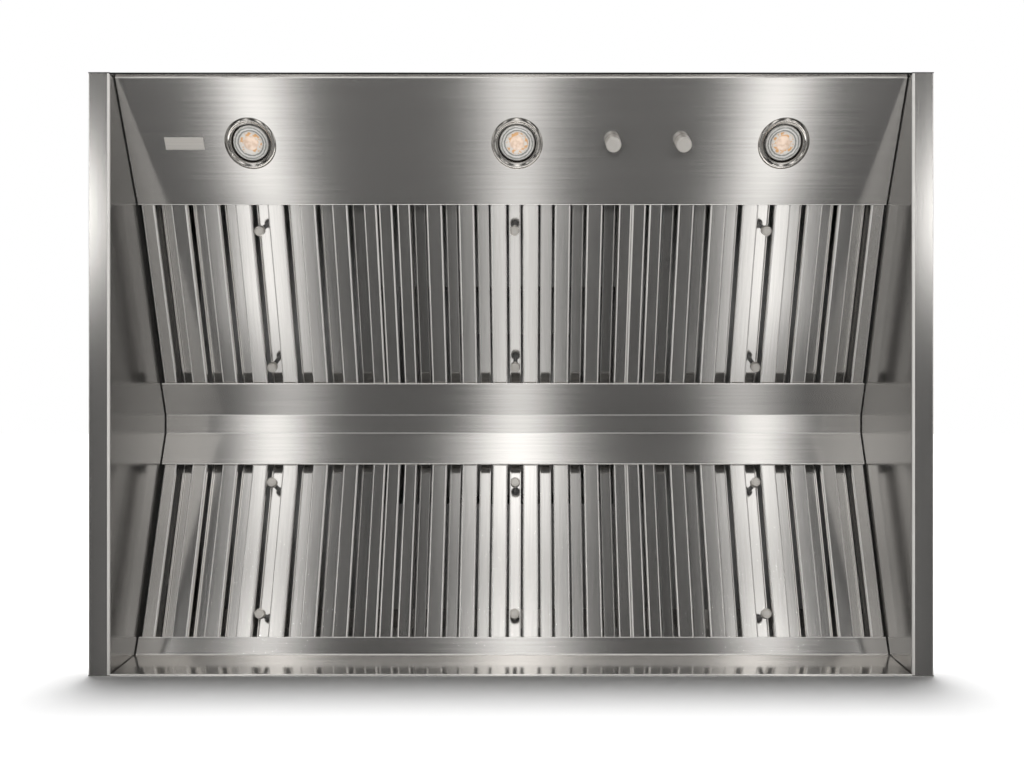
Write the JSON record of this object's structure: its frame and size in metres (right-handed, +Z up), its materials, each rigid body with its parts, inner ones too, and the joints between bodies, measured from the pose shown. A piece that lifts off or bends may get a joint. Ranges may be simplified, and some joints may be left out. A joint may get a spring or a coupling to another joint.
{
  "type": "range hood insert",
  "caption": "Stainless steel range hood insert with lift-out baffle filters, round lamps, control knobs, a roof blower box and a round duct collar with a backdraft damper.",
  "frame": {"origin": "centre of the open rim's plane, at the bottom of the insert as installed", "axes": "+Z up into the ceiling cabinet, -Y to the front edge with the lamps and controls, +Y to the wall behind the range, +X to the right in the picture"},
  "size_m": [1.067, 0.762, 0.509],
  "materials": {
    "casing_steel": "brushed stainless steel, grain along each sheet",
    "filter_steel": "brushed stainless steel, finer grain along the baffles",
    "polished_steel": "polished stainless steel",
    "turned_metal": "turned and satin finished",
    "lamp_glass": "ribbed clear front over a warm lamp",
    "galvanised_steel": "galvanised sheet",
    "shaft_steel": "ground steel",
    "black_plastic": "matt moulded plastic",
    "motor_paint": "dark grey paint"
  },
  "bodies": {
    "liner": {"blower_box": "galvanised_steel", "blower_motor": "motor_paint", "blower_scroll": "galvanised_steel", "blower_side_left": "galvanised_steel", "blower_side_right": "galvanised_steel", "centre_channel": "casing_steel", "control_box": "galvanised_steel", "damper_pin": "shaft_steel", "drip_tray": "casing_steel", "duct_collar": "galvanised_steel", "fan_switch": "black_plastic", "filter_dividers": "casing_steel", "front_wall": "casing_steel", "junction_box": "galvanised_steel", "junction_box_cover": "galvanised_steel", "lamp_bulbs": "lamp_glass", "lamp_holders": "galvanised_steel", "lamp_rings": "polished_steel", "left_side_panel": "casing_steel", "light_dimmer": "black_plastic", "light_panel": "casing_steel", "motor_bracket": "galvanised_steel", "rear_wall": "casing_steel", "right_side_panel": "casing_steel", "roof_panel": "galvanised_steel"},
    "front_left_filter": {"front_left_filter_frame": "filter_steel", "front_left_filter_front_baffles": "filter_steel", "front_left_filter_knobs": "polished_steel", "front_left_filter_rear_baffles": "filter_steel"},
    "front_centre_filter": {"front_centre_filter_frame": "filter_steel", "front_centre_filter_front_baffles": "filter_steel", "front_centre_filter_knobs": "polished_steel", "front_centre_filter_rear_baffles": "filter_steel"},
    "front_right_filter": {"front_right_filter_frame": "filter_steel", "front_right_filter_front_baffles": "filter_steel", "front_right_filter_knobs": "polished_steel", "front_right_filter_rear_baffles": "filter_steel"},
    "rear_left_filter": {"rear_left_filter_frame": "filter_steel", "rear_left_filter_front_baffles": "filter_steel", "rear_left_filter_knobs": "polished_steel", "rear_left_filter_rear_baffles": "filter_steel"},
    "rear_centre_filter": {"rear_centre_filter_frame": "filter_steel", "rear_centre_filter_front_baffles": "filter_steel", "rear_centre_filter_knobs": "polished_steel", "rear_centre_filter_rear_baffles": "filter_steel"},
    "rear_right_filter": {"rear_right_filter_frame": "filter_steel", "rear_right_filter_front_baffles": "filter_steel", "rear_right_filter_knobs": "polished_steel", "rear_right_filter_rear_baffles": "filter_steel"},
    "fan_knob": {"fan_knob": "turned_metal"},
    "light_knob": {"light_knob": "turned_metal"},
    "damper_flap_front": {"damper_flap_front": "galvanised_steel"},
    "damper_flap_rear": {"damper_flap_rear": "galvanised_steel"},
    "blower_rotor": {"blower_wheel_disc": "galvanised_steel", "blower_cage_left": "galvanised_steel", "blower_cage_right": "galvanised_steel", "blower_shaft": "shaft_steel"}
  },
  "joints": [
    {"name": "front_left_filter_slide", "type": "slide", "parent": "liner", "child": "front_left_filter", "axis": [0, 0.941, 0.3383], "range_m": [0, 0.014]},
    {"name": "front_centre_filter_slide", "type": "slide", "parent": "liner", "child": "front_centre_filter", "axis": [0, 0.941, 0.3383], "range_m": [0, 0.014]},
    {"name": "front_right_filter_slide", "type": "slide", "parent": "liner", "child": "front_right_filter", "axis": [0, 0.941, 0.3383], "range_m": [0, 0.014]},
    {"name": "rear_left_filter_slide", "type": "slide", "parent": "liner", "child": "rear_left_filter", "axis": [0, -0.9369, 0.3497], "range_m": [0, 0.014]},
    {"name": "rear_centre_filter_slide", "type": "slide", "parent": "liner", "child": "rear_centre_filter", "axis": [0, -0.9369, 0.3497], "range_m": [0, 0.014]},
    {"name": "rear_right_filter_slide", "type": "slide", "parent": "liner", "child": "rear_right_filter", "axis": [0, -0.9369, 0.3497], "range_m": [0, 0.014]},
    {"name": "fan_knob_turn", "type": "hinge", "parent": "liner", "child": "fan_knob", "pos_m": [0.1324, -0.3054, 0.0496], "axis": [0, 0.4496, -0.8932], "range_deg": [0, 270]},
    {"name": "light_knob_turn", "type": "hinge", "parent": "liner", "child": "light_knob", "pos_m": [0.2238, -0.3054, 0.0496], "axis": [0, 0.4496, -0.8932], "range_deg": [0, 270]},
    {"name": "damper_front_swing", "type": "hinge", "parent": "liner", "child": "damper_flap_front", "pos_m": [0, 0, 0.477], "axis": [-1, 0, 0], "range_deg": [0, 78]},
    {"name": "damper_rear_swing", "type": "hinge", "parent": "liner", "child": "damper_flap_rear", "pos_m": [0, 0, 0.477], "axis": [1, 0, 0], "range_deg": [0, 78]},
    {"name": "blower_spin", "type": "hinge", "parent": "liner", "child": "blower_rotor", "pos_m": [0, 0.08, 0.352], "axis": [1, 0, 0], "continuous": true}
  ]
}
